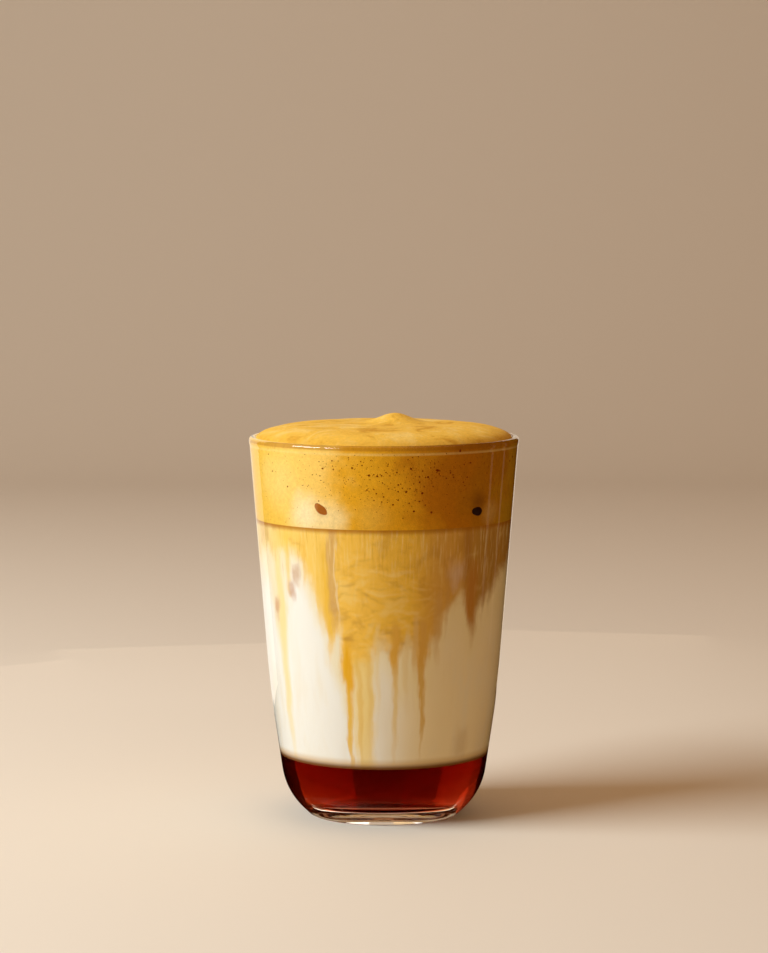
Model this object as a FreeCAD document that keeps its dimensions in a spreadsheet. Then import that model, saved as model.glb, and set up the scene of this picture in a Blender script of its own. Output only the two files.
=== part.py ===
"""Layered iced latte in a tapered tumbler: glass, syrup, milk and a domed cap of coffee foam.

Millimetres. +Z is up, -Y is the front, and the origin is the centre of the foot on the table.
Everything is turned about the Z axis, except the soft peak of the foam, which stands off it.
"""

import FreeCAD
import Part
import math
import os

import Sketcher

VECTOR = FreeCAD.Vector
V_AXIS = -2  # a sketch's own upright axis
H_AXIS = -1  # a sketch's own level axis, whose first point is the origin
START, END = 1, 2

# Driving dimensions: alias, value, what it is.
SIZES = [
    ("glass_height", 119.6, "foot to the top of the rim"),
    ("rim_diameter", 85.0, "over the rim bead"),
    ("rim_wall", 1.8, "wall just below the bead"),
    ("bead_radius", 1.15, "section of the fire-polished bead on the rim"),
    ("waist_height", 40.0, "where the straight flare meets the rounded lower body"),
    ("waist_inset", 6.4, "outer radius at the waist, in from the rim's"),
    ("waist_wall", 2.1, "wall at the waist"),
    ("waist_round", 330.0, "radius of the gentle bend at the waist"),
    ("heel_height", 7.0, "corner between the body and the heel"),
    ("heel_inset", 11.3, "outer radius at the heel corner, in from the rim's"),
    ("heel_round", 21.0, "radius of the heel"),
    ("foot_inset", 18.65, "radius of the foot, in from the rim's"),
    ("foot_round", 1.2, "edge between the heel and the flat foot"),
    ("foot_ring", 5.0, "width of the flat ring that the glass stands on"),
    ("recess_depth", 0.7, "shallow hollow inside the foot ring"),
    ("recess_taper", 2.5, "how far the side of the hollow slopes in"),
    ("base_thickness", 6.0, "foot to the inner floor"),
    ("floor_inset", 13.7, "inner radius where wall and floor meet, in from the rim's"),
    ("floor_round", 15.0, "radius between the inner wall and the floor"),
    ("syrup_depth", 13.25, "inner floor to the top of the syrup"),
    ("foam_depth", 25.6, "rim to the underside of the foam"),
    ("dome_rise", 4.0, "rim to the flat top of the foam"),
    ("shoulder_inset", 9.2, "wall to the edge of the flat top"),
    ("brow_inset", 1.5, "wall to where the dome turns down to the bead"),
    ("brow_drop", 2.8, "flat top to that turn"),
    ("dome_edge_drop", 0.6, "rim to where the dome would meet the wall"),
    ("shoulder_round", 22.0, "radius of the dome's shoulder"),
    ("brow_round", 4.0, "radius of the dome's brow"),
    ("peak_x", 3.4, "axis of the soft peak"),
    ("peak_y", 2.4, "axis of the soft peak"),
    ("peak_rise", 3.1, "flat top of the foam to the tip of the peak"),
    ("peak_tip", 1.9, "radius of the tip's corner"),
    ("peak_foot", 7.6, "radius of the corner where the peak leaves the dome"),
    ("peak_tip_round", 5.0, "radius of the rounded tip"),
    ("peak_foot_round", 11.0, "radius of the flare at the foot of the peak"),
    ("peak_sink", 0.05, "how far the flare dips into the dome, so that they join"),
]

# Radii and heights that several pieces share, written with the sheet's aliases.
RIM_RADIUS = "Sizes.rim_diameter / 2"
WALL_TOP = "(Sizes.glass_height - Sizes.bead_radius)"
BEAD_CENTRE = f"({RIM_RADIUS} - Sizes.bead_radius)"
OUTER_TOP = f"({BEAD_CENTRE} + Sizes.rim_wall / 2)"
INNER_TOP = f"({BEAD_CENTRE} - Sizes.rim_wall / 2)"
OUTER_WAIST = f"({RIM_RADIUS} - Sizes.waist_inset)"
FOOT_RADIUS = f"({RIM_RADIUS} - Sizes.foot_inset)"
RING_INNER = f"({FOOT_RADIUS} - Sizes.foot_ring)"
SYRUP_TOP = "(Sizes.base_thickness + Sizes.syrup_depth)"
FOAM_BOTTOM = "(Sizes.glass_height - Sizes.foam_depth)"
DOME_TOP = "(Sizes.glass_height + Sizes.dome_rise)"
ABOVE_FOAM = f"({DOME_TOP} + 2 * Sizes.peak_rise)"

os.makedirs("parts", exist_ok=True)
doc = FreeCAD.newDocument("Latte")
sheet = doc.addObject("Spreadsheet::Sheet", "Sizes")
for row, (alias, value, meaning) in enumerate(SIZES, start=1):
    sheet.set(f"A{row}", alias)
    sheet.set(f"B{row}", str(value))
    sheet.set(f"C{row}", meaning)
    sheet.setAlias(f"B{row}", alias)
doc.recompute()


def value_of(expression):
    """What an expression of the sheet's aliases comes to, as a number."""
    return float(sheet.evalExpression(expression.replace("Sizes.", "")))


def upright_sketch(body, name):
    """A sketch in the body's own XZ plane: its X is radius and its Y is height."""
    plane = next(f for f in body.Origin.OriginFeatures if f.Role == "XZ_Plane")
    sketch = body.newObject("Sketcher::SketchObject", name)
    sketch.AttachmentSupport = [(plane, "")]
    sketch.MapMode = "FlatFace"
    return sketch


def bind(sketch, kind, geometry, expression, *point):
    """A size that follows the sheet: a radius, or a point's distance from the sketch's origin."""
    value = value_of(expression)
    if point:
        constraint = Sketcher.Constraint(kind, H_AXIS, START, geometry, *point, value)
    else:
        constraint = Sketcher.Constraint(kind, geometry, value)
    index = sketch.addConstraint(constraint)
    sketch.setExpression(f"Constraints[{index}]", expression)


def place(sketch, geometry, point, radius, height):
    """Ties a point to a radius and a height. A plain 0 puts it on the axis instead."""
    for kind, expression, axis in (("DistanceX", radius, V_AXIS), ("DistanceY", height, H_AXIS)):
        if expression == "0":
            sketch.addConstraint(Sketcher.Constraint("PointOnObject", geometry, point, axis))
        else:
            bind(sketch, kind, geometry, expression, point)


def rounding(before, corner, after, radius):
    """An arc that rounds a corner, where it begins and ends, and whether it turns left."""
    back = (before - corner).normalize()
    ahead = (after - corner).normalize()
    half = back.getAngle(ahead) / 2
    begin = corner + back * (radius / math.tan(half))
    end = corner + ahead * (radius / math.tan(half))
    centre = corner + (back + ahead).normalize() * (radius / math.sin(half))
    left = ahead.cross(back).z > 0
    first, last = (begin, end) if left else (end, begin)
    angles = [math.atan2(p.y - centre.y, p.x - centre.x) for p in (first, last)]
    if angles[1] < angles[0]:
        angles[1] += 2 * math.pi
    arc = Part.ArcOfCircle(Part.Circle(centre, VECTOR(0, 0, 1), radius), *angles)
    return arc, begin, end, left


def corner_profile(body, name, corners):
    """A closed outline through corners, each a radius, a height and, if it is rounded, a rounding radius."""
    sketch = upright_sketch(body, name)
    points = [VECTOR(value_of(corner[0]), value_of(corner[1]), 0) for corner in corners]
    count = len(corners)
    rounded = {
        i: rounding(points[i - 1], points[i], points[(i + 1) % count], value_of(corner[2]))
        for i, corner in enumerate(corners)
        if len(corner) > 2
    }
    for i, point in enumerate(points):
        following = (i + 1) % count
        begin = rounded[i][2] if i in rounded else point
        end = rounded[following][1] if following in rounded else points[following]
        sketch.addGeometry(Part.LineSegment(begin, end))
    for i, corner in enumerate(corners):
        side_before, side_after = (i - 1) % count, i
        if i not in rounded:
            sketch.addConstraint(Sketcher.Constraint("Coincident", side_before, END, side_after, START))
            place(sketch, side_after, START, corner[0], corner[1])
            continue
        left = rounded[i][3]
        arc = sketch.addGeometry(rounded[i][0])
        arc_begin, arc_end = (START, END) if left else (END, START)
        sketch.addConstraint(Sketcher.Constraint("Tangent", side_before, END, arc, arc_begin))
        sketch.addConstraint(Sketcher.Constraint("Tangent", arc, arc_end, side_after, START))
        bind(sketch, "Radius", arc, corner[2])
        sharp = sketch.addGeometry(Part.Point(points[i]), True)
        sketch.addConstraint(Sketcher.Constraint("PointOnObject", sharp, START, side_before))
        sketch.addConstraint(Sketcher.Constraint("PointOnObject", sharp, START, side_after))
        place(sketch, sharp, START, corner[0], corner[1])
    return sketch


def turn(body, name, sketch, kind="PartDesign::Revolution"):
    """Turns a sketch all the way round its own upright axis."""
    feature = body.newObject(kind, name)
    feature.Profile = sketch
    feature.ReferenceAxis = (sketch, ["V_Axis"])
    feature.Angle = 360.0
    doc.recompute()
    return feature


def tumbler_blank():
    """The outside of the glass as a solid, with the shallow hollow under its foot."""
    body = doc.addObject("PartDesign::Body", "Blank")
    outline = [
        ("0", "0"),
        (FOOT_RADIUS, "0", "Sizes.foot_round"),
        (f"({RIM_RADIUS} - Sizes.heel_inset)", "Sizes.heel_height", "Sizes.heel_round"),
        (OUTER_WAIST, "Sizes.waist_height", "Sizes.waist_round"),
        (OUTER_TOP, WALL_TOP),
        ("0", WALL_TOP),
    ]
    turn(body, "BlankTurned", corner_profile(body, "BlankProfile", outline))
    hollow = [
        ("0", "0"),
        (RING_INNER, "0"),
        (f"({RING_INNER} - Sizes.recess_taper)", "Sizes.recess_depth"),
        ("0", "Sizes.recess_depth"),
    ]
    turn(body, "FootHollow", corner_profile(body, "HollowProfile", hollow), "PartDesign::Groove")
    return body


def drink_space():
    """The inside of the glass, carried straight up past the foam."""
    body = doc.addObject("PartDesign::Body", "Cavity")
    outline = [
        ("0", "Sizes.base_thickness"),
        (f"({RIM_RADIUS} - Sizes.floor_inset)", "Sizes.base_thickness", "Sizes.floor_round"),
        (f"({OUTER_WAIST} - Sizes.waist_wall)", "Sizes.waist_height", "Sizes.waist_round - Sizes.waist_wall"),
        (INNER_TOP, WALL_TOP),
        (INNER_TOP, ABOVE_FOAM),
        ("0", ABOVE_FOAM),
    ]
    turn(body, "CavityTurned", corner_profile(body, "CavityProfile", outline))
    return body


def foam_form():
    """The foam before the glass shapes its side: a flat-topped dome with its soft peak."""
    body = doc.addObject("PartDesign::Body", "FoamForm")
    edge_height = "(Sizes.glass_height - Sizes.dome_edge_drop)"
    brow_height = f"({DOME_TOP} - Sizes.brow_drop)"
    # The brow's slope runs on past the wall by the wall's own thickness.
    run_out = f"(Sizes.rim_wall * ({brow_height} - {edge_height}) / Sizes.brow_inset)"
    outside = f"({INNER_TOP} + Sizes.rim_wall)"
    dome = [
        ("0", FOAM_BOTTOM),
        (outside, FOAM_BOTTOM),
        (outside, f"({edge_height} - {run_out})"),
        (f"({INNER_TOP} - Sizes.brow_inset)", brow_height, "Sizes.brow_round"),
        (f"({INNER_TOP} - Sizes.shoulder_inset)", DOME_TOP, "Sizes.shoulder_round"),
        ("0", DOME_TOP),
    ]
    turn(body, "Dome", corner_profile(body, "DomeProfile", dome))
    peak_height = f"({DOME_TOP} + Sizes.peak_rise)"
    flare_height = f"({DOME_TOP} - Sizes.peak_sink)"
    flare_end = "(Sizes.peak_foot + Sizes.peak_foot_round)"
    peak = [
        ("0", "Sizes.glass_height"),
        (flare_end, "Sizes.glass_height"),
        (flare_end, flare_height),
        ("Sizes.peak_foot", flare_height, "Sizes.peak_foot_round"),
        ("Sizes.peak_tip", peak_height, "Sizes.peak_tip_round"),
        ("0", peak_height),
    ]
    sketch = corner_profile(body, "PeakProfile", peak)
    sketch.setExpression("AttachmentOffset.Base.x", "Sizes.peak_x")
    sketch.setExpression("AttachmentOffset.Base.z", "-Sizes.peak_y")
    turn(body, "Peak", sketch)
    return body


def disc(name, bottom, top):
    """A disc wider than the glass, between two levels."""
    cylinder = doc.addObject("Part::Cylinder", name)
    cylinder.setExpression("Radius", "Sizes.rim_diameter")
    cylinder.setExpression("Height", f"{top} - {bottom}")
    cylinder.setExpression("Placement.Base.z", bottom)
    return cylinder


def boolean(kind, name, base, tool, label=None):
    """Part::Cut, Part::Fuse or Part::Common of two objects."""
    result = doc.addObject(kind, name)
    result.Base = base
    result.Tool = tool
    result.Label = label or name
    return result


def rim_bead():
    """The ring of the fire-polished rim, centred on the wall."""
    torus = doc.addObject("Part::Torus", "Bead")
    torus.setExpression("Radius1", BEAD_CENTRE)
    torus.setExpression("Radius2", "Sizes.bead_radius")
    torus.setExpression("Placement.Base.z", WALL_TOP)
    return torus


blank = tumbler_blank()
cavity = drink_space()
form = foam_form()
bead = rim_bead()

shell = boolean("Part::Cut", "Shell", blank, cavity)
foam_in_glass = boolean("Part::Common", "FoamInGlass", cavity, form)
pieces = [
    boolean("Part::Fuse", "Tumbler", shell, bead, "glass"),
    boolean("Part::Common", "Syrup", cavity, disc("SyrupDisc", "Sizes.base_thickness", SYRUP_TOP), "syrup"),
    boolean("Part::Common", "Milk", cavity, disc("MilkDisc", SYRUP_TOP, FOAM_BOTTOM), "milk"),
    boolean("Part::Cut", "Foam", foam_in_glass, bead, "foam"),
]
doc.recompute()

for item in doc.Objects:
    if "Invalid" in item.State or "Error" in item.State:
        raise RuntimeError(f"{item.Name} failed to recompute: {item.State}")

for piece in pieces:
    shape = piece.Shape
    if shape.isNull() or not shape.isValid() or len(shape.Solids) != 1:
        raise RuntimeError(f"{piece.Label} isn't one valid solid")
    shape.Solids[0].exportStep(os.path.join("parts", f"{piece.Label}.step"))
    box = shape.BoundBox
    print(
        f"{piece.Label}: {shape.Volume / 1000:.1f} ml, radius {box.XMax:.2f}, "
        f"height {box.ZMin:.2f} to {box.ZMax:.2f} mm"
    )
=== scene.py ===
"""A layered iced latte in a tapered tumbler, with a domed cap of coffee foam.

Sizes are in millimetres, as a maker would give them, and MM turns them to metres.
The origin is the centre of the foot on the table, +Z is up and -Y is the front.
Angles round the glass are in degrees: 0 faces the front and 90 the front's right.
"""

import math
import random

import bpy
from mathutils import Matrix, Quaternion, Vector, noise


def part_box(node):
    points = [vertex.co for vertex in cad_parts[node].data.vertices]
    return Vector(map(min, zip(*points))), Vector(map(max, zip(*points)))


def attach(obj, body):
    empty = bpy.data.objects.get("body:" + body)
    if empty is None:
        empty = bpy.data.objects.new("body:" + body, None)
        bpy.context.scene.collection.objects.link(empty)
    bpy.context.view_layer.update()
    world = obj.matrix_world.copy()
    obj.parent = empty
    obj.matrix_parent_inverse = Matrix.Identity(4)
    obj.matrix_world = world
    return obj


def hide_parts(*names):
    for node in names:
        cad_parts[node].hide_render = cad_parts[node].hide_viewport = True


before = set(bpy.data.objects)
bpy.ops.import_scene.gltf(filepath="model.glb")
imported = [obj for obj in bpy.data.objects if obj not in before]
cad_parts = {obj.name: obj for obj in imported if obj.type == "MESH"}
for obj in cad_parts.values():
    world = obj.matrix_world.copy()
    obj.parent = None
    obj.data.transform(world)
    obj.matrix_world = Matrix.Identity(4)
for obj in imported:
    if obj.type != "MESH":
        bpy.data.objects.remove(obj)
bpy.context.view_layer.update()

MM = 0.001
ROUND_STEPS = 192
FLOOR_GAP = -0.0001  # the table lies this far under the foot, so that the two faces stay apart

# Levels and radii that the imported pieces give.
RIM_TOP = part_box("glass")[1].z / MM
RIM_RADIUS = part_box("glass")[1].x / MM
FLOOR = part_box("syrup")[0].z / MM
SYRUP_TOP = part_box("syrup")[1].z / MM
FOAM_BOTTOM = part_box("foam")[0].z / MM
PEAK_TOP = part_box("foam")[1].z / MM

# The tumbler's own shape, as its drawing gives it.
BEAD_RADIUS = 1.15
RIM_WALL = 1.8
WAIST_HEIGHT, WAIST_INSET, WAIST_WALL, WAIST_ROUND = 40.0, 6.4, 2.1, 330.0
HEEL_HEIGHT, HEEL_INSET, HEEL_ROUND = 7.0, 11.3, 21.0
FOOT_INSET, FOOT_ROUND, FOOT_RING = 18.65, 1.2, 5.0
RECESS_DEPTH, RECESS_TAPER = 0.7, 2.5
FLOOR_INSET, FLOOR_ROUND = 13.7, 15.0

WALL_TOP = RIM_TOP - BEAD_RADIUS
BEAD_CENTRE = RIM_RADIUS - BEAD_RADIUS
OUTER_TOP = BEAD_CENTRE + RIM_WALL / 2
INNER_TOP = BEAD_CENTRE - RIM_WALL / 2
OUTER_WAIST = RIM_RADIUS - WAIST_INSET
FOOT_RADIUS = RIM_RADIUS - FOOT_INSET
DOME_RISE = 4.0
PEAK_RISE, PEAK_WIDTH, PEAK_PLACE = PEAK_TOP - RIM_TOP - DOME_RISE - 0.1, 6.6, (3.4, 2.4)

# How far each filling reaches into the glass wall, so that no air gap shows.
MILK_REACH, FOAM_REACH, SYRUP_REACH = 0.16, 0.16, 0.06


def linear(hex_colour):
    """An sRGB hex colour as the linear RGBA that nodes take."""
    channels = [int(hex_colour[i:i + 2], 16) / 255 for i in (1, 3, 5)]
    return [c / 12.92 if c <= 0.04045 else ((c + 0.055) / 1.055) ** 2.4 for c in channels] + [1.0]


def add_node(tree, kind, settings, inputs):
    """Adds a node with its own settings. Inputs are numbers, colours, nodes or sockets, by name or by place."""
    made = tree.nodes.new("ShaderNode" + kind)
    for name, value in settings.items():
        setattr(made, name, value)
    open_sockets = [s for s in made.inputs if s.enabled]
    for key, value in inputs.items():
        socket = open_sockets[key] if isinstance(key, int) else next(s for s in open_sockets if s.name == key)
        if isinstance(value, bpy.types.Node):
            value = next(s for s in value.outputs if s.enabled)
        if isinstance(value, bpy.types.NodeSocket):
            tree.links.new(value, socket)
        else:
            socket.default_value = value
    return made


def new_material(name):
    """An empty node material and its output node."""
    material = bpy.data.materials.new(name)
    material.use_nodes = True
    material.node_tree.nodes.clear()
    return material, material.node_tree, material.node_tree.nodes.new("ShaderNodeOutputMaterial")


def start_outline(name, radius, height):
    """A new mesh of one point in the XZ plane, open for drawing."""
    bpy.ops.object.select_all(action="DESELECT")
    bpy.ops.mesh.primitive_plane_add(size=MM)
    piece = bpy.context.object
    piece.name = piece.data.name = name
    bpy.ops.object.mode_set(mode="EDIT")
    bpy.ops.mesh.select_mode(type="VERT")
    bpy.ops.mesh.select_all(action="SELECT")
    bpy.ops.mesh.merge(type="CENTER")
    bpy.ops.transform.translate(value=(radius * MM, 0, height * MM))
    return piece


def draw_outline(name, corners):
    """An outline through corners, each a radius, a height and, if it is rounded, a rounding radius."""
    points = [Vector((corner[0], 0, corner[1])) for corner in corners]
    piece = start_outline(name, corners[0][0], corners[0][1])
    here = points[0]
    for i in range(1, len(corners)):
        corner = points[i]
        if len(corners[i]) == 2:
            bpy.ops.mesh.extrude_region_move(TRANSFORM_OT_translate={"value": (corner - here) * MM})
            here = corner
            continue
        rounding = corners[i][2]
        back = (points[i - 1] - corner).normalized()
        ahead = (points[i + 1] - corner).normalized()
        half = back.angle(ahead) / 2
        begin = corner + back * rounding / math.tan(half)
        centre = corner + (back + ahead).normalized() * rounding / math.sin(half)
        turned = math.pi - 2 * half
        steps = max(3, math.ceil(math.degrees(turned) / 5), math.ceil(turned * rounding / 2.5))
        bpy.ops.mesh.extrude_region_move(TRANSFORM_OT_translate={"value": (begin - here) * MM})
        side = -1 if back.cross(ahead).y < 0 else 1
        bpy.ops.mesh.spin(steps=steps, angle=turned, center=centre * MM, axis=(0, side, 0))
        here = corner + ahead * rounding / math.tan(half)
    return piece


def turn_outline(piece, steps=ROUND_STEPS):
    """Turns the open outline about the glass's axis and closes the shell, with its faces outwards."""
    bpy.ops.mesh.select_all(action="SELECT")
    bpy.ops.mesh.spin(steps=steps, angle=math.tau, center=(0, 0, 0), axis=(0, 0, 1))
    bpy.ops.mesh.select_all(action="SELECT")
    bpy.ops.mesh.remove_doubles(threshold=0.002 * MM)
    bpy.ops.mesh.normals_make_consistent(inside=False)
    bpy.ops.object.mode_set(mode="OBJECT")
    return piece


def finish_piece(piece, material, smooth_angle=35):
    """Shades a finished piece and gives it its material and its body."""
    bpy.ops.object.select_all(action="DESELECT")
    piece.select_set(True)
    bpy.context.view_layer.objects.active = piece
    bpy.ops.object.shade_smooth_by_angle(angle=math.radians(smooth_angle))
    piece.data.materials.clear()
    piece.data.materials.append(material)
    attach(piece, "root")


def inner_wall(reach):
    """The corners of the inner wall from the floor up, a reach outside it."""
    return [
        (RIM_RADIUS - FLOOR_INSET + reach, FLOOR - reach, FLOOR_ROUND + reach),
        (OUTER_WAIST - WAIST_WALL + reach, WAIST_HEIGHT, WAIST_ROUND - WAIST_WALL + reach),
        (INNER_TOP + reach, WALL_TOP),
    ]


def low_wall_radius(height, reach):
    """Radius of the inner wall at a height between its floor and its waist, a reach outside it."""
    floor_corner, waist_corner, _ = inner_wall(reach)
    low, high = Vector(floor_corner[:2]), Vector(waist_corner[:2])
    return low.lerp(high, (height - low.y) / (high.y - low.y)).x


def wall_radius(height):
    """Radius of the inner wall at a height on its straight flare."""
    share = (height - WAIST_HEIGHT) / (WALL_TOP - WAIST_HEIGHT)
    return OUTER_WAIST - WAIST_WALL + share * (INNER_TOP - OUTER_WAIST + WAIST_WALL)


# ---------------------------------------------------------------- materials

GLASS_IOR, SYRUP_IOR = 1.5, 1.4

# Settings that many nodes share: a range mapped with soft ends, and a mix of colours.
SMOOTH = {"interpolation_type": "SMOOTHSTEP"}
COLOURS = {"data_type": "RGBA"}

# Hems of the coffee that hangs in the milk from the foam, front side only, as angle and height: first a pale
# halo, then the coffee itself. Each has the softness of its hem in mm, its strength and how high its back starts.
HALO = (7.0, 0.55, 24.0, [
    (-100, 76), (-72, 76), (-66, 70), (-60, 58), (-54, 70), (-48, 80), (-42, 78), (-36, 70), (-30, 60), (-26, 50),
    (-22, 44), (-19, 34), (-12, 30), (-6, 38), (-2, 50), (3, 50), (8, 42), (14, 42), (19, 38), (24, 52), (31, 60),
    (38, 64), (46, 54), (52, 60), (60, 64), (72, 66), (100, 76),
])
STAIN = (4.2, 0.95, 30.0, [
    (-100, 88), (-72, 85), (-66, 86), (-60, 84), (-54, 86), (-48, 86), (-42, 84), (-37, 79), (-33, 74), (-30, 69),
    (-27.5, 61), (-26, 58), (-24.5, 63), (-22.5, 63), (-21, 54), (-19, 47), (-16, 49), (-12, 51), (-8, 51),
    (-4, 56), (0, 59), (3, 58), (6, 54), (9, 58), (13, 59), (17, 55), (19.5, 51), (22, 57), (25, 62), (30, 67),
    (35, 71), (40, 73), (43, 69), (46, 63), (49, 67), (53, 70), (60, 74), (70, 78), (100, 88),
])

# The coffee's colour round the glass: from an angle to an angle it turns to this. It is back at its first colour
# behind, where the angles meet. Its darker brown on the front right is partly the coffee's own tone and partly
# painted shade, as the lamp is on the left.
STAIN_AND_SHADE_TURNS = [
    (-70, -48, "#f3c45a"), (-34, -14, "#f5bd40"), (-8, 4, "#efb634"), (10, 28, "#d79c3c"), (32, 52, "#b07a26"),
    (80, 150, "#f0cf88"),
]

# Single drips, streaks and blots in the milk: angle and half width in degrees, bottom and the height over which it
# fades there, top and its fade, in mm, colour and strength.
DRIPS = [
    (-58.0, 5.0, 6, 40, 82, 6, "#f1d890", 0.75), (-50.0, 3.0, 68, 12, 90, 6, "#f0c458", 0.6),
    (-39.0, 2.0, 72, 10, 92, 4, "#e8b040", 0.45), (-31.0, 3.4, 57, 18, 88, 8, "#f0c25a", 0.8),
    (-27.0, 3.6, 48, 22, 84, 8, "#eebb48", 1.0), (-24.3, 3.0, 60, 12, 98, 4, "#c2966a", 0.55),
    (-22.6, 0.7, 60, 14, 86, 8, "#f3e0b8", 0.4), (-10.5, 9.0, -6, 34, 50, 8, "#f2d07c", 0.85),
    (-18.2, 2.2, 4, 26, 50, 10, "#e9b84c", 0.95), (-17.4, 3.6, 35, 14, 55, 7, "#e9a920", 0.9),
    (-12.8, 2.0, 6, 30, 52, 8, "#e5b348", 0.45), (-7.2, 2.4, 12, 28, 52, 8, "#e8ba56", 0.4),
    (-2.5, 1.6, 30, 20, 62, 6, "#f0d08a", 0.5), (5.6, 2.6, 12, 28, 50, 8, "#e8c57c", 0.75),
    (5.6, 2.8, 42, 14, 62, 6, "#e2a945", 1.0), (11.0, 2.6, 30, 26, 60, 6, "#e9c888", 0.55),
    (15.5, 2.2, 44, 12, 64, 6, "#e0b268", 0.7), (19.0, 3.2, 32, 18, 64, 6, "#dba44a", 1.0),
    (19.2, 1.8, 19, 18, 48, 8, "#dcae5c", 0.9), (25.5, 3.2, 48, 16, 70, 6, "#d3a056", 0.65),
    (30.5, 2.4, 58, 12, 76, 6, "#cf9a50", 0.5), (35.5, 7.0, 73, 6, 80, 7, "#dcb895", 0.65),
    (41.5, 4.0, 66, 18, 98, 4, "#a0652a", 0.5), (46.0, 5.0, 53, 18, 78, 8, "#ba7a30", 0.9),
    (54.0, 3.0, 60, 14, 82, 6, "#b28040", 0.65), (60.0, 3.5, 64, 12, 86, 6, "#ab7a34", 0.5),
    (46.0, 9.0, 19, 6, 26, 8, "#c9a060", 0.35), (-48.2, 4.2, 69, 5, 74, 4, "#c2906e", 0.7),
    (-44.6, 4.2, 73.5, 5, 79, 4, "#c79a76", 0.65), (-61.5, 3.0, 63, 5, 69, 4, "#d2a07a", 0.8),
]

# The foam's colour against the wall, in the same way. Its darker gold on the front right is partly the foam's own
# tone and partly painted shade, as the lamp is on the left.
FOAM_AND_SHADE_TURNS = [
    (-62, -44, "#f5c560"), (-32, -12, "#e6a51c"), (-8, 4, "#e29e14"), (6, 24, "#bf7404"), (30, 46, "#b57204"),
    (56, 72, "#bf8a12"), (80, 150, "#edbb48"),
]

# Patches in the foam at the wall: angle, height, full and fading radius in mm, colour and strength.
FOAM_PATCHES = [
    (-55, 108, 2, 13, "#f6d484", 0.4), (-37, 98.5, 2, 9, "#f8e2ae", 0.85), (-24, 97, 1, 7, "#f6dca0", 0.6),
    (-28.4, 99.2, 0, 2.4, "#c08a54", 0.5), (-5, 98, 1, 8, "#eab84e", 0.35), (46.5, 101.5, 1, 5.5, "#6e3c04", 0.6),
    (55, 98, 1, 6, "#d8b060", 0.4), (14, 112, 1, 9, "#d08a10", 0.3),
]


def glass_material(name, ior):
    """Soda-lime tumbler glass, blown and fire-polished, so it is perfectly clear and smooth.

    Its index of refraction is the one against what touches that face: air, or syrup where it is wetted.
    """
    material, tree, output = new_material(name)
    glass = add_node(tree, "BsdfPrincipled", {}, {
        "Base Color": linear("#fcfefc"), "Roughness": 0.0, "IOR": ior, "Transmission Weight": 1.0,
    })
    lamp_way(tree, output, glass)
    return material


def lamp_way(tree, output, shader):
    """Lets lamps and bounced light pass straight through a clear surface, as through a thin pane."""
    clear = add_node(tree, "BsdfTransparent", {}, {})
    ray = add_node(tree, "LightPath", {}, {})
    passes = add_node(tree, "Math", {"operation": "MAXIMUM"}, {
        0: ray.outputs["Is Shadow Ray"], 1: ray.outputs["Is Diffuse Ray"],
    })
    surface = add_node(tree, "MixShader", {}, {0: passes, 1: shader, 2: clear})
    tree.links.new(surface.outputs[0], output.inputs["Surface"])


def syrup_material():
    """Dark sugar and coffee syrup: clear, red where thin and near black where deep.

    Its own surface bends nothing, because the wetted face of the glass round it has the bend between the two.
    """
    material, tree, output = new_material("coffee_syrup")
    syrup = add_node(tree, "BsdfPrincipled", {}, {
        "Base Color": (1, 1, 1, 1), "Roughness": 0.0, "IOR": 1.0, "Transmission Weight": 1.0,
    })
    lamp_way(tree, output, syrup)
    depth = add_node(tree, "VolumeAbsorption", {}, {"Color": (0.735, 0.26, 0.0, 1.0), "Density": 184.0})
    tree.links.new(depth.outputs[0], output.inputs["Volume"])
    return material


def around_and_up(tree):
    """The place on a piece as an angle round the glass in degrees and a height in mm, and as a vector in mm."""
    place = add_node(tree, "TexCoord", {}, {}).outputs["Object"]
    in_mm = add_node(tree, "VectorMath", {"operation": "SCALE"}, {0: place, "Scale": 1 / MM})
    axes = add_node(tree, "SeparateXYZ", {}, {0: in_mm})
    front = add_node(tree, "Math", {"operation": "MULTIPLY"}, {0: axes.outputs["Y"], 1: -1.0})
    turn = add_node(tree, "Math", {"operation": "ARCTAN2"}, {0: axes.outputs["X"], 1: front})
    angle = add_node(tree, "Math", {"operation": "DEGREES"}, {0: turn})
    return angle, axes.outputs["Z"], in_mm


def streaked(tree, in_mm, width, length, detail=2.0, distortion=0.0):
    """Noise drawn out along the glass: features of a width and a length in mm, from 0 to 1."""
    drawn = add_node(tree, "Mapping", {}, {"Vector": in_mm, "Scale": (1 / width, 1 / width, 1 / length)})
    return add_node(tree, "TexNoise", {}, {
        "Vector": drawn, "Scale": 1.0, "Detail": detail, "Roughness": 0.55, "Distortion": distortion,
    }).outputs[0]


def turning_colour(tree, angle, first, turns):
    """A colour that changes round the glass, from the first one through each turn's."""
    colour = linear(first)
    for begin, end, tint in turns:
        share = add_node(tree, "MapRange", SMOOTH, {
            0: angle, 1: float(begin), 2: float(end), 3: 0.0, 4: 1.0,
        })
        colour = add_node(tree, "Mix", COLOURS, {0: share, 1: colour, 2: linear(tint)})
    return colour


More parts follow.
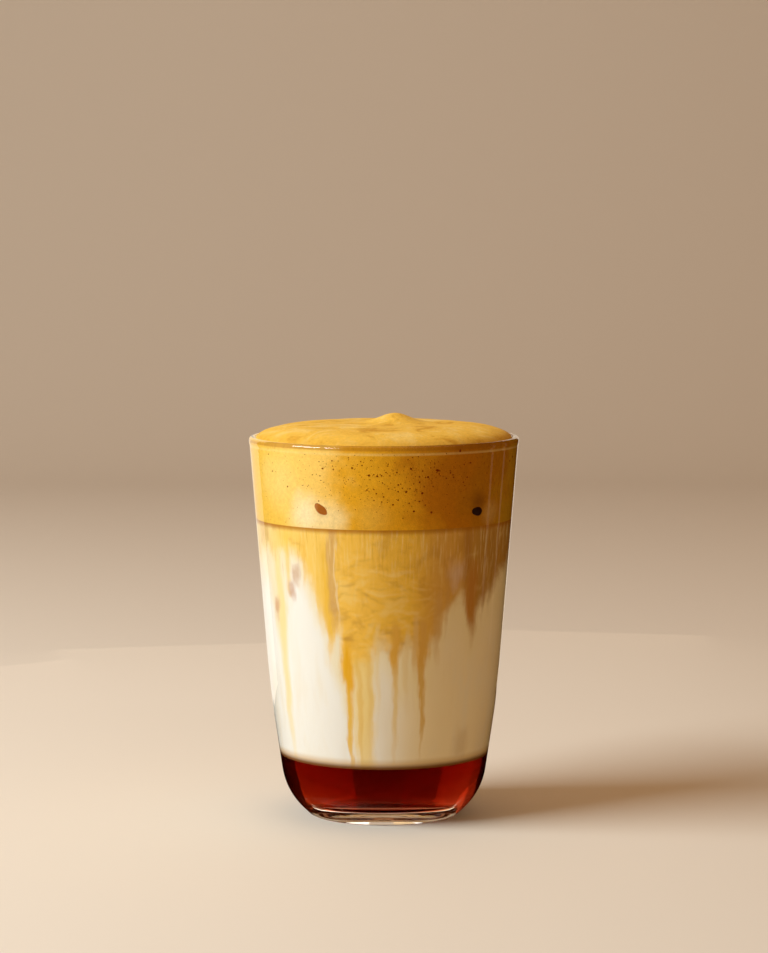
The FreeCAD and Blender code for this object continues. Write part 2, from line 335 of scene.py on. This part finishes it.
def hem_cover(tree, angle, level, loose, hem_row):
    """How far coffee covers the milk above its hem. The hem is read at three angles, so its sides are soft too."""
    softness, strength, lift, hem = hem_row
    away = add_node(tree, "Math", {"operation": "ABSOLUTE"}, {0: angle})
    behind = add_node(tree, "MapRange", SMOOTH, {0: away, 1: 76.0, 2: 98.0, 3: 0.0, 4: 1.0})
    own_loose = add_node(tree, "Math", {"operation": "ADD"}, {0: loose, 1: lift})
    total = 0.0
    for aside in (-1.3, 0.0, 1.3):
        along = add_node(tree, "MapRange", {}, {0: angle, 1: -100.0 + aside, 2: 100.0 + aside, 3: 0.0, 4: 1.0})
        curve = add_node(tree, "FloatCurve", {}, {1: along})
        line = curve.mapping.curves[0]
        for _ in range(len(hem) - 2):
            line.points.new(0.5, 0.5)
        for point, (at, low) in zip(line.points, sorted(hem)):
            point.location = ((at + 100) / 200, low / 100)
        curve.mapping.update()
        drawn = add_node(tree, "Math", {"operation": "MULTIPLY"}, {0: curve, 1: 100.0})
        edge = add_node(tree, "Mix", {}, {0: behind, 1: drawn, 2: own_loose})
        above = add_node(tree, "Math", {"operation": "SUBTRACT"}, {0: level, 1: edge})
        cover = add_node(tree, "MapRange", SMOOTH, {
            0: above, 1: -softness, 2: softness, 3: 0.0, 4: strength / 3,
        })
        total = add_node(tree, "Math", {"operation": "ADD"}, {0: cover, 1: total})
    return total


def drip_cover(tree, angle, level, half_width, bottom, bottom_fade, top, top_fade, at, strength):
    """How far one soft drip covers the milk: dense along its middle, narrower and thinner towards its tip."""
    body = add_node(tree, "MapRange", SMOOTH, {
        0: level, 1: float(bottom), 2: float(bottom + bottom_fade), 3: 0.0, 4: 1.0,
    })
    head = add_node(tree, "MapRange", SMOOTH, {
        0: level, 1: float(top), 2: float(top + top_fade), 3: strength, 4: 0.0,
    })
    width = add_node(tree, "MapRange", {}, {0: body, 1: 0.0, 2: 1.0, 3: 0.45 * half_width, 4: half_width})
    aside = add_node(tree, "Math", {"operation": "SUBTRACT"}, {0: angle, 1: at})
    off = add_node(tree, "Math", {"operation": "ABSOLUTE"}, {0: aside})
    ratio = add_node(tree, "Math", {"operation": "DIVIDE"}, {0: off, 1: width})
    bell = add_node(tree, "MapRange", SMOOTH, {0: ratio, 1: 0.15, 2: 1.0, 3: 1.0, 4: 0.0})
    whole = add_node(tree, "Math", {"operation": "MULTIPLY"}, {0: bell, 1: body})
    return add_node(tree, "Math", {"operation": "MULTIPLY"}, {0: whole, 1: head})


def milk_material():
    """Cold milk with coffee sinking through it: white below, yellow and tan curtains and drips above."""
    material, tree, output = new_material("milk_and_coffee")
    angle, height, in_mm = around_and_up(tree)

    # Slow eddies sway every hem and drip, and fine fibres soften their sides.
    eddy = streaked(tree, in_mm, 9, 16)
    fibre = streaked(tree, in_mm, 0.7, 6)
    billow = streaked(tree, in_mm, 4, 5)
    swing = add_node(tree, "MapRange", {}, {0: eddy, 1: 0.25, 2: 0.75, 3: -1.5, 4: 1.5})
    feather = add_node(tree, "MapRange", {}, {0: fibre, 1: 0.2, 2: 0.8, 3: -0.9, 4: 0.9})
    swung = add_node(tree, "Math", {"operation": "ADD"}, {0: angle, 1: swing})
    bent = add_node(tree, "Math", {"operation": "ADD"}, {0: swung, 1: feather})
    rise = add_node(tree, "MapRange", {}, {0: billow, 1: 0.2, 2: 0.8, 3: -2.2, 4: 2.2})
    level = add_node(tree, "Math", {"operation": "ADD"}, {0: height, 1: rise})
    run = streaked(tree, in_mm, 6, 400, detail=1.5)
    loose = add_node(tree, "MapRange", {}, {0: run, 1: 0.3, 2: 0.7, 3: 56.0, 4: 14.0})

    # The milk itself, tan on its front right: partly coffee mixed in and partly painted shade, as the lamp is on
    # the left. Faint creamy veils lie over it.
    colour = turning_colour(tree, angle, "#f0ebe0", [(-16, 24, "#f3dba9"), (90, 160, "#f0ebe0")])
    veil = streaked(tree, in_mm, 5, 26, detail=3.0)
    veiled = add_node(tree, "MapRange", SMOOTH, {0: veil, 1: 0.45, 2: 0.72, 3: 0.0, 4: 0.35})
    colour = add_node(tree, "Mix", COLOURS, {0: veiled, 1: colour, 2: linear("#eadaba")})

    halo = hem_cover(tree, bent, level, loose, HALO)
    colour = add_node(tree, "Mix", COLOURS, {0: halo, 1: colour, 2: linear("#efd79a")})

    # The coffee, darker on its front right partly by painted shade, has clouds in it, and at the front folds drawn
    # in colour: a painted highlight on their tops and painted shade below them.
    coffee = turning_colour(tree, angle, "#f0cf88", STAIN_AND_SHADE_TURNS)
    cloud = streaked(tree, in_mm, 7, 8, detail=3.0, distortion=0.6)
    for low, high, tint, strength in ((0.5, 0.28, "#b87c1c", 0.4), (0.52, 0.74, "#f6d684", 0.35)):
        amount = add_node(tree, "MapRange", SMOOTH, {0: cloud, 1: low, 2: high, 3: 0.0, 4: strength})
        coffee = add_node(tree, "Mix", COLOURS, {0: amount, 1: coffee, 2: linear(tint)})
    lifted = add_node(tree, "VectorMath", {"operation": "ADD"}, {0: in_mm, 1: (0.0, 0.0, 0.7)})
    roll = streaked(tree, in_mm, 6.5, 4.2, detail=1.5, distortion=0.4)
    roll_above = streaked(tree, lifted, 6.5, 4.2, detail=1.5, distortion=0.4)
    fold_light_and_shade = add_node(tree, "Math", {"operation": "SUBTRACT"}, {0: roll_above, 1: roll})
    middle = add_node(tree, "VectorMath", {"operation": "DISTANCE"}, {0: in_mm, 1: (-2.0, -36.5, 67.0)})
    near = add_node(tree, "MapRange", SMOOTH, {0: middle, 1: 12.0, 2: 26.0, 3: 1.0, 4: 0.0})
    # Painted shade below each fold and a painted highlight on its top.
    for low, high, tint, strength in ((0.0, 0.18, "#b0761a", 0.38), (0.0, -0.18, "#fbdc8c", 0.3)):
        side = add_node(tree, "MapRange", SMOOTH, {0: fold_light_and_shade, 1: low, 2: high, 3: 0.0, 4: strength})
        amount = add_node(tree, "Math", {"operation": "MULTIPLY"}, {0: side, 1: near})
        coffee = add_node(tree, "Mix", COLOURS, {0: amount, 1: coffee, 2: linear(tint)})
    stain = hem_cover(tree, bent, level, loose, STAIN)
    colour = add_node(tree, "Mix", COLOURS, {0: stain, 1: colour, 2: coffee})

    for at, half_width, bottom, bottom_fade, top, top_fade, tint, strength in DRIPS:
        cover = drip_cover(tree, bent, level, half_width, bottom, bottom_fade, top, top_fade, at, strength)
        colour = add_node(tree, "Mix", COLOURS, {0: cover, 1: colour, 2: linear(tint)})

    # Threads of coffee: close together under the foam and lost lower down.
    threads = streaked(tree, in_mm, 0.7, 26, detail=3.0)
    thread_zone = add_node(tree, "MapRange", SMOOTH, {0: height, 1: 70.0, 2: 92.0, 3: 0.04, 4: 0.4})
    for low, high, tint in ((0.5, 0.72, "#f7dc94"), (0.46, 0.26, "#bf8420")):
        thread = add_node(tree, "MapRange", SMOOTH, {0: threads, 1: low, 2: high, 3: 0.0, 4: 1.0})
        amount = add_node(tree, "Math", {"operation": "MULTIPLY"}, {0: thread, 1: thread_zone})
        colour = add_node(tree, "Mix", COLOURS, {0: amount, 1: colour, 2: linear(tint)})

    # Just under the foam a thin dark brown line; against the syrup a golden line that turns soft brown.
    for low, high, tint, strength in (
        (92.0, 93.8, "#a9660e", 0.8), (23.0, 20.6, "#c79a52", 0.6), (21.2, 19.5, "#6b3a10", 0.95),
    ):
        line_cover = add_node(tree, "MapRange", SMOOTH, {0: height, 1: low, 2: high, 3: 0.0, 4: strength})
        colour = add_node(tree, "Mix", COLOURS, {0: line_cover, 1: colour, 2: linear(tint)})

    milk = add_node(tree, "BsdfPrincipled", {}, {
        "Base Color": colour, "Roughness": 0.6, "Specular IOR Level": 0.0,
    })
    tree.links.new(milk.outputs[0], output.inputs["Surface"])
    return material


def foam_material():
    """Cold coffee foam: fine wet bubbles that read as matte, golden at the wall and paler on top."""
    material, tree, output = new_material("coffee_foam")
    angle, height, in_mm = around_and_up(tree)
    cloud = streaked(tree, in_mm, 14, 12, detail=3.0)
    shifted = add_node(tree, "MapRange", {}, {0: cloud, 1: 0.2, 2: 0.8, 3: -14.0, 4: 14.0})
    wandering = add_node(tree, "Math", {"operation": "ADD"}, {0: angle, 1: shifted})
    # Darker gold on the front right, partly painted shade.
    side = turning_colour(tree, wandering, "#edbb48", FOAM_AND_SHADE_TURNS)

    # Paler and darker patches at the wall, round the ice that touches it.
    for at, level, inner, outer, tint, strength in FOAM_PATCHES:
        place, _ = on_wall(at, level, 0)
        gap = add_node(tree, "VectorMath", {"operation": "DISTANCE"}, {0: in_mm, 1: place})
        loose = add_node(tree, "MapRange", {}, {0: cloud, 1: 0.2, 2: 0.8, 3: -0.3 * outer, 4: 0.3 * outer})
        reach = add_node(tree, "Math", {"operation": "ADD"}, {0: gap.outputs["Value"], 1: loose})
        amount = add_node(tree, "MapRange", SMOOTH, {
            0: reach, 1: float(inner), 2: float(outer), 3: strength, 4: 0.0,
        })
        side = add_node(tree, "Mix", COLOURS, {0: amount, 1: side, 2: linear(tint)})

    # Under the bead, a pale line of painted highlight and a brown line of painted shade above it: the bands that
    # the bead's lens shows on the foam.
    for low, high, top, tint, strength in (
        (116.4, 117.1, 117.8, "#f3cf7c", 0.45), (117.7, 118.3, 119.3, "#a9680c", 0.6),
    ):
        up = add_node(tree, "MapRange", SMOOTH, {0: height, 1: low, 2: high, 3: 0.0, 4: strength})
        down = add_node(tree, "MapRange", SMOOTH, {0: height, 1: high, 2: top, 3: 1.0, 4: 0.0})
        amount = add_node(tree, "Math", {"operation": "MULTIPLY"}, {0: up, 1: down})
        side = add_node(tree, "Mix", COLOURS, {0: amount, 1: side, 2: linear(tint)})

    # The open top is drier and paler, with cloudy patches, and browner near the bead.
    top_cloud = add_node(tree, "TexNoise", {}, {
        "Vector": in_mm, "Scale": 0.11, "Detail": 4.0, "Roughness": 0.6, "Distortion": 0.7,
    })
    skin = linear("#eebb48")
    for low, high, tint, strength in ((0.5, 0.68, "#f5cf74", 0.7), (0.48, 0.32, "#c98c1e", 0.7)):
        amount = add_node(tree, "MapRange", SMOOTH, {0: top_cloud, 1: low, 2: high, 3: 0.0, 4: strength})
        skin = add_node(tree, "Mix", COLOURS, {0: amount, 1: skin, 2: linear(tint)})
    low_skin = add_node(tree, "MapRange", SMOOTH, {0: height, 1: RIM_TOP + 2.6, 2: RIM_TOP + 0.3, 3: 0.0, 4: 0.4})
    skin = add_node(tree, "Mix", COLOURS, {0: low_skin, 1: skin, 2: linear("#cf942c")})
    top = add_node(tree, "MapRange", SMOOTH, {0: height, 1: RIM_TOP - 0.9, 2: RIM_TOP + 0.2, 3: 0.0, 4: 1.0})
    colour = add_node(tree, "Mix", COLOURS, {0: top, 1: side, 2: skin})

    # Open pores, 1.4 mm apart and mostly small, thinner on top; and the grain of pinhead bubbles, 0.35 mm apart.
    pores = add_node(tree, "TexVoronoi", {}, {"Vector": in_mm, "Scale": 0.72})
    width = add_node(tree, "MapRange", {}, {0: pores.outputs["Color"], 1: 0.4, 2: 1.0, 3: 0.0, 4: 0.17})
    pore_edge = add_node(tree, "Math", {"operation": "SUBTRACT"}, {0: pores.outputs["Distance"], 1: width})
    thickness = add_node(tree, "MapRange", {}, {0: top, 1: 0.0, 2: 1.0, 3: 0.55, 4: 0.5})
    hole = add_node(tree, "MapRange", SMOOTH, {0: pore_edge, 1: 0.06, 2: -0.03, 3: 0.0, 4: 1.0})
    pore = add_node(tree, "Math", {"operation": "MULTIPLY"}, {0: hole, 1: thickness})
    # The pores are darkened: partly wet coffee inside the open bubbles and partly painted shade in their hollows.
    colour = add_node(tree, "Mix", COLOURS, {0: pore, 1: colour, 2: linear("#9a5206")})
    mottle = add_node(tree, "TexNoise", {}, {"Vector": in_mm, "Scale": 0.9, "Detail": 3.0, "Roughness": 0.65})
    grain = add_node(tree, "TexNoise", {}, {"Vector": in_mm, "Scale": 2.6, "Detail": 2.0, "Roughness": 0.7})
    for pattern, dark, light in ((mottle, 0.9, 1.07), (grain, 0.94, 1.05)):
        speckle = add_node(tree, "MapRange", {}, {0: pattern.outputs[0], 1: 0.3, 2: 0.7, 3: dark, 4: light})
        colour = add_node(tree, "VectorMath", {"operation": "SCALE"}, {0: colour, "Scale": speckle})
    bumped = add_node(tree, "Math", {"operation": "SUBTRACT"}, {0: grain.outputs[0], 1: pore})
    bump = add_node(tree, "Bump", {}, {"Strength": 0.35, "Distance": 0.3 * MM, "Height": bumped})
    foam = add_node(tree, "BsdfPrincipled", {}, {
        "Base Color": colour, "Roughness": 0.85, "Specular IOR Level": 0.12, "Normal": bump,
    })
    tree.links.new(foam.outputs[0], output.inputs["Surface"])
    return material


def bubble_material():
    """The wet inside of an open bubble, in shade: deep red-brown."""
    material, tree, output = new_material("open_bubble")
    bubble = add_node(tree, "BsdfPrincipled", {}, {
        "Base Color": linear("#7c3202"), "Roughness": 0.8, "Specular IOR Level": 0.0,
    })
    tree.links.new(bubble.outputs[0], output.inputs["Surface"])
    return material


def ice_material():
    """Clear ice in coffee, which lets the dark inside of the drink show: brown at left, near black at right. Its
    paler far left is a painted highlight, and the near black at right is partly painted shade.
    """
    material, tree, output = new_material("dark_ice_with_painted_shade")
    place = add_node(tree, "TexCoord", {}, {}).outputs["Object"]
    axes = add_node(tree, "SeparateXYZ", {}, {0: place})
    # Paler at the far left of the left cube as a painted highlight; near black on the right cube, partly painted
    # shade.
    side = add_node(tree, "MapRange", {}, {0: axes.outputs["X"], 1: -0.0225, 2: -0.0195, 3: 0.0, 4: 1.0})
    left = add_node(tree, "MapRange", {}, {0: axes.outputs["X"], 1: 0.0, 2: 0.005, 3: 0.0, 4: 1.0})
    brown_with_painted_light = add_node(tree, "Mix", COLOURS, {0: side, 1: linear("#cb935c"), 2: linear("#a35c1a")})
    colour = add_node(tree, "Mix", COLOURS, {0: left, 1: brown_with_painted_light, 2: linear("#2a0e04")})
    ice = add_node(tree, "BsdfPrincipled", {}, {
        "Base Color": colour, "Roughness": 0.3, "Specular IOR Level": 0.1,
    })
    tree.links.new(ice.outputs[0], output.inputs["Surface"])
    return material


def plain_material(name, colour, roughness=0.5):
    """A plain finish of one colour."""
    material, tree, output = new_material(name)
    shader = add_node(tree, "BsdfPrincipled", {}, {"Base Color": linear(colour), "Roughness": roughness})
    tree.links.new(shader.outputs[0], output.inputs["Surface"])
    return material


# ------------------------------------------------------------------- pieces


def make_tumbler():
    """The glass: one shell from the hollow under the foot, up the outside, over the bead and down to the floor."""
    ring_inner = FOOT_RADIUS - FOOT_RING
    bead_out, bead_in = RIM_RADIUS, BEAD_CENTRE - BEAD_RADIUS
    # The bead swells out of the wall over a short soft neck.
    neck, swell = WALL_TOP - 1.5 * BEAD_RADIUS, WALL_TOP - 0.5 * BEAD_RADIUS
    corners = [
        (0, RECESS_DEPTH),
        (ring_inner - RECESS_TAPER, RECESS_DEPTH),
        (ring_inner, 0),
        (FOOT_RADIUS, 0, FOOT_ROUND),
        (RIM_RADIUS - HEEL_INSET, HEEL_HEIGHT, HEEL_ROUND),
        (OUTER_WAIST, WAIST_HEIGHT, WAIST_ROUND),
        (OUTER_TOP, neck, BEAD_RADIUS),
        (bead_out, swell, BEAD_RADIUS),
        (bead_out, RIM_TOP, BEAD_RADIUS),
        (bead_in, RIM_TOP, BEAD_RADIUS),
        (bead_in, swell, BEAD_RADIUS),
        (INNER_TOP, neck, BEAD_RADIUS),
        *reversed(inner_wall(0)[:2]),
        (0, FLOOR),
    ]
    tumbler = turn_outline(draw_outline("tumbler", corners))
    finish_piece(tumbler, glass_material("soda_lime_glass", GLASS_IOR))
    # Against the syrup, light bends only by the difference between the two.
    tumbler.data.materials.append(glass_material("wetted_soda_lime_glass", GLASS_IOR / SYRUP_IOR))
    for face in tumbler.data.polygons:
        inward = face.normal.x * face.center.x + face.normal.y * face.center.y < 0
        upward = face.normal.z > 0.9
        lowest = min(tumbler.data.vertices[v].co.z for v in face.vertices) / MM
        if FLOOR - 0.01 < lowest < SYRUP_TOP and (inward or upward):
            face.material_index = 1
    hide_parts("glass")


def make_syrup():
    """The syrup layer, up to just inside the milk."""
    top = SYRUP_TOP + 0.1
    side = (low_wall_radius(top, SYRUP_REACH), top)
    corners = [(0, FLOOR - SYRUP_REACH), inner_wall(SYRUP_REACH)[0], side, (0, top)]
    syrup = turn_outline(draw_outline("syrup_layer", corners))
    finish_piece(syrup, syrup_material())
    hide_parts("syrup")


def make_milk():
    """The marbled milk, from the syrup to the foam."""
    foot = low_wall_radius(SYRUP_TOP, MILK_REACH)
    head = wall_radius(FOAM_BOTTOM) + MILK_REACH
    corners = [(0, SYRUP_TOP), (foot, SYRUP_TOP), inner_wall(MILK_REACH)[1], (head, FOAM_BOTTOM), (0, FOAM_BOTTOM)]
    milk = turn_outline(draw_outline("marbled_milk", corners))
    finish_piece(milk, milk_material())
    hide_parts("milk")


def dome_height(radius):
    """Height of the foam's plain dome at a radius: nearly flat, then round its shoulder to the bead."""
    edge_drop, flatness, shoulder = 0.64, 5.6, 1.6
    share = (1 - min(1.0, radius / INNER_TOP) ** flatness) ** (1 / shoulder)
    return RIM_TOP - edge_drop + (DOME_RISE + edge_drop) * share


def foam_relief(x, y):
    """How far the foam's top stands above the plain dome, in mm: the peak, slow swells and two folds beside it."""
    peak = PEAK_RISE * math.exp(-((x - PEAK_PLACE[0]) ** 2 + (y - PEAK_PLACE[1]) ** 2) / PEAK_WIDTH ** 2)
    swell = 0.22 * noise.noise(Vector((x / 13, y / 13, 3.1))) + 0.08 * noise.noise(Vector((x / 4, y / 4, 7.7)))
    crease_depth, crease_width = 0.45, 0.9
    folds = 0.0
    for left, right, across, bow in ((-19.0, -8.0, -19.0, 2.0), (-13.0, -4.0, -9.0, 1.5)):
        share = (x - left) / (right - left)
        if 0 < share < 1:
            line = across + bow * math.sin(math.pi * share)
            folds -= crease_depth * math.sin(math.pi * share) * math.exp(-((y - line) / crease_width) ** 2)
    return peak + swell + folds


def make_foam():
    """The foam: its side against the wall, and its open top past the rim."""
    first_ring, ring_step, rings = 0.35, 0.55, 72
    top_rings = [INNER_TOP - first_ring - ring_step * i for i in range(rings)]
    corners = [
        (0, FOAM_BOTTOM),
        (wall_radius(FOAM_BOTTOM) + FOAM_REACH, FOAM_BOTTOM),
        (INNER_TOP + FOAM_REACH - 0.1, WALL_TOP - 1.2),
        (INNER_TOP - 0.2, WALL_TOP + 0.3),
        *((radius, dome_height(radius)) for radius in top_rings),
        (0, dome_height(0)),
    ]
    foam = turn_outline(draw_outline("foam_cap", corners), steps=320)
    # The relief grows from nothing at the bead to its full height a little way in.
    relief_growth = 4.0
    for vertex in foam.data.vertices:
        x, y, z = vertex.co / MM
        if z > RIM_TOP - 0.3:
            inward = min(1.0, (INNER_TOP - math.hypot(x, y)) / relief_growth)
            vertex.co.z += foam_relief(x, y) * inward * MM
    finish_piece(foam, foam_material())
    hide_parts("foam")


def on_wall(angle, height, reach):
    """A place on the inner wall, a reach outside it, and the way out through the wall there."""
    turn = math.radians(angle)
    out = Vector((math.sin(turn), -math.cos(turn), 0))
    radius = wall_radius(height) + reach
    return Vector((out.x * radius, out.y * radius, height)), out


def join_pieces(pieces, name):
    """Joins pieces into one, its place in its mesh."""
    bpy.ops.object.select_all(action="DESELECT")
    for piece in pieces:
        piece.select_set(True)
    bpy.context.view_layer.objects.active = pieces[0]
    bpy.ops.object.join()
    bpy.ops.object.transform_apply(location=True, rotation=True, scale=True)
    joined = bpy.context.object
    joined.name = joined.data.name = name
    return joined


def make_bubbles():
    """Open bubbles of the foam that lie against the wall, most of them near the front."""
    draw = random.Random(11)
    bpy.ops.object.select_all(action="DESELECT")
    bpy.ops.mesh.primitive_ico_sphere_add(subdivisions=2, radius=MM)
    pattern = bpy.context.object
    bubbles = []
    flatness, mostly_at = 0.05, 113
    sizes = [0.5, 0.42, 0.4] + [draw.uniform(0.28, 0.38) for _ in range(22)]
    sizes += [draw.uniform(0.17, 0.26) for _ in range(80)]
    sizes += [draw.uniform(0.1, 0.15) for _ in range(320)]
    for size in sizes:
        spread = 20 if size > 0.14 else 34
        angle = draw.gauss(9, spread) if draw.random() < 0.8 else draw.uniform(-180, 180)
        height = draw.triangular(FOAM_BOTTOM + 3, WALL_TOP - 0.6, mostly_at)
        place, out = on_wall(angle, height, FOAM_REACH)
        bubble = pattern.copy()
        bubble.data = pattern.data.copy()
        bpy.context.scene.collection.objects.link(bubble)
        bubble.location = place * MM
        bubble.rotation_euler = out.to_track_quat("Z", "Y").to_euler()
        bubble.scale = (size, size * draw.uniform(0.75, 1.15), flatness)
        bubbles.append(bubble)
    bpy.data.objects.remove(pattern)
    joined = join_pieces(bubbles, "foam_bubbles")
    finish_piece(joined, bubble_material())


def make_ice():
    """Two half-melted cubes, whose corners come through the foam to the wall."""
    cubes = []
    side, edge_round = 20, 3.5
    corner = Vector((1, 1, 0.8)).normalized()
    # Angle and height at the wall, size across and up against a whole cube's, roll in degrees, reach into the wall.
    for angle, height, across, up, roll, depth in (
        (-30.2, 99.7, 1.9, 1.0, 38, 0.42), (46.5, 98.0, 1.75, 1.1, 0, 0.42),
    ):
        bpy.ops.object.select_all(action="DESELECT")
        bpy.ops.mesh.primitive_cube_add(size=side * MM)
        cube = bpy.context.object
        bpy.ops.object.mode_set(mode="EDIT")
        bpy.ops.mesh.select_all(action="SELECT")
        bpy.ops.mesh.bevel(offset=edge_round * MM, segments=2, affect="EDGES")
        bpy.ops.mesh.select_all(action="SELECT")
        bpy.ops.mesh.subdivide(number_cuts=1)
        bpy.ops.transform.tosphere(value=0.5)
        bpy.ops.object.mode_set(mode="OBJECT")
        # Its corner is turned to +X, it is made longer across and up, and then it is set against the wall.
        cube.rotation_mode = "QUATERNION"
        cube.rotation_quaternion = corner.rotation_difference(Vector((1, 0, 0)))
        bpy.ops.object.transform_apply(location=False, rotation=True, scale=False)
        cube.scale = (1, across, up)
        bpy.ops.object.transform_apply(location=False, rotation=False, scale=True)
        rounded = cube.modifiers.new("rounded", "SUBSURF")
        rounded.levels = rounded.render_levels = 2
        bpy.ops.object.modifier_apply(modifier="rounded")
        place, out = on_wall(angle, height, depth)
        facing = Vector((1, 0, 0)).rotation_difference(out)
        cube.rotation_quaternion = Quaternion(out, -math.radians(roll)) @ facing
        cube.location = place * MM - out * max(v.co.x for v in cube.data.vertices)
        cubes.append(cube)
    joined = join_pieces(cubes, "ice_cubes")
    finish_piece(joined, ice_material(), smooth_angle=80)


# -------------------------------------------------------------------- stage


def make_stage():
    """A pale sweep, a soft key from the left, warm fill, and cards and strips for the glass to show and mirror."""
    bpy.ops.object.select_all(action="DESELECT")
    floor_size, bend_start, bend_radius, wall_rise = 5.0, 1.1, 0.7, 1.5
    bpy.ops.mesh.primitive_plane_add(size=floor_size, location=(0, bend_start - floor_size / 2, FLOOR_GAP))
    sweep = bpy.context.object
    sweep.name = "pale_sweep"
    bpy.ops.object.mode_set(mode="EDIT")
    bpy.ops.mesh.select_all(action="DESELECT")
    bpy.ops.object.mode_set(mode="OBJECT")
    for edge in sweep.data.edges:
        edge.select = all(sweep.data.vertices[v].co.y > 0 for v in edge.vertices)
    bpy.ops.object.mode_set(mode="EDIT")
    bpy.ops.mesh.select_mode(type="EDGE")
    bpy.ops.mesh.spin(steps=24, angle=math.pi / 2, center=(0, bend_start, bend_radius + FLOOR_GAP), axis=(-1, 0, 0))
    bpy.ops.mesh.extrude_region_move(TRANSFORM_OT_translate={"value": (0, 0, wall_rise)})
    bpy.ops.object.mode_set(mode="OBJECT")
    bpy.ops.object.shade_smooth()
    sweep.data.materials.append(plain_material("pale_sweep", "#e6dac8", 0.75))
    sweep.visible_glossy = False  # the glass mirrors the lamps, not the pale table

    world = bpy.data.worlds.new("studio")
    bpy.context.scene.world = world
    world.use_nodes = True
    background = world.node_tree.nodes["Background"]
    background.inputs["Color"].default_value = (1.0, 0.58, 0.28, 1.0)
    background.inputs["Strength"].default_value = 0.22
    world.cycles_visibility.glossy = False

    add_lamp("key", (-1.05, -0.4, 0.9), (0, 0, 0.06), 0.9, 0.5, 24.3, "#eff9ff")
    add_lamp("overhead", (0.1, 0.2, 1.6), (0, 0, 0), 1.4, 1.4, 5.0, "#ffc890")
    # Cards close behind the glass, from left to right: left and right edge in mm, the glow of each card's foot,
    # which the syrup shows, and of the rest of it, which the thick base shows.
    card_foot, card_top, card_way = 0.02, 0.08, 0.11
    for name, left, right, foot_glow, glow, colour in (
        ("far_left_card", -100, -62, 0.8, 1.2, "#fff6ea"), ("white_card", -62, -20.5, 1.35, 2.8, "#fffaf4"),
        ("beige_card", -20.5, -5.6, 0.48, 1.5, "#ecc890"), ("grey_card", -5.6, 8.9, 0.28, 0.5, "#e8dccc"),
        ("cream_card", 8.9, 29.7, 1.25, 2.6, "#fff4e4"), ("tan_card", 29.7, 58, 1.3, 1.6, "#f2d4a8"),
    ):
        for part, low, high, strength in (("foot", 0.0, card_foot, foot_glow), ("top", card_foot, card_top, glow)):
            breadth, tall = (right - left) * MM, high - low
            place = ((left + right) / 2 * MM, card_way, (low + high) / 2)
            power = strength * math.pi * breadth * tall
            card = add_lamp(name + "_" + part, place, (place[0], 0, place[2]), breadth, tall, power, colour)
            card.visible_diffuse = card.visible_glossy = False

    # Tall soft strips that the wall mirrors: bearing from straight back and width in degrees, distance, glow.
    strip_tall, strip_centre = 0.33, 0.13
    for name, bearing, width, distance, glow, colour in (
        ("left_strip", -36.0, 26.0, 0.33, 0.8, "#ffeedd"), ("left_edge_strip", -12.0, 22.0, 0.36, 0.85, "#fff0dc"),
        ("right_strip", 77.6, 3.0, 0.42, 0.28, "#ffeacc"), ("far_strip", 58.6, 3.0, 0.42, 0.2, "#ffeacc"),
        ("edge_strip", 11.0, 20.0, 0.4, 0.8, "#ffedd4"),
    ):
        turn = math.radians(bearing)
        place = Vector((math.sin(turn) * distance, math.cos(turn) * distance, strip_centre))
        breadth = 2 * distance * math.tan(math.radians(width / 2))
        power = glow * math.pi * breadth * strip_tall
        strip = add_lamp(name, place, (0, 0, strip_centre), breadth, strip_tall, power, colour)
        strip.visible_diffuse = strip.visible_transmission = False


def add_lamp(name, place, target, width, height, power, colour):
    """A soft rectangular lamp that only lights and glints: the camera doesn't see it."""
    light = bpy.data.lights.new(name, "AREA")
    light.shape = "RECTANGLE"
    light.size, light.size_y = width, height
    light.energy = power
    light.color = linear(colour)[:3]
    lamp = bpy.data.objects.new(name, light)
    bpy.context.scene.collection.objects.link(lamp)
    lamp.location = place
    lamp.rotation_euler = (Vector(target) - Vector(place)).to_track_quat("-Z", "Y").to_euler()
    lamp.visible_camera = False
    return lamp


def make_camera():
    """Looks slightly down on the glass from the front, through a long lens."""
    camera = bpy.data.cameras.new("camera")
    camera.lens = 108.9
    camera.sensor_width = 36
    distance, height, tilt_down = 0.905, 0.1901, 0.0919
    viewer = bpy.data.objects.new("camera", camera)
    bpy.context.scene.collection.objects.link(viewer)
    viewer.location = (0, -distance, height)
    viewer.rotation_euler = (math.pi / 2 - tilt_down, 0, 0)
    bpy.context.scene.camera = viewer


make_camera()
make_stage()
make_tumbler()
make_syrup()
make_milk()
make_foam()
make_bubbles()
make_ice()
bpy.context.scene.view_settings.view_transform = "Standard"
# Light runs along the thick base as in a light guide, by more mirrorings than the usual four.
bpy.context.scene.cycles.glossy_bounces = 12
bpy.context.scene.cycles.transmission_bounces = 16
bpy.context.scene.cycles.max_bounces = 24
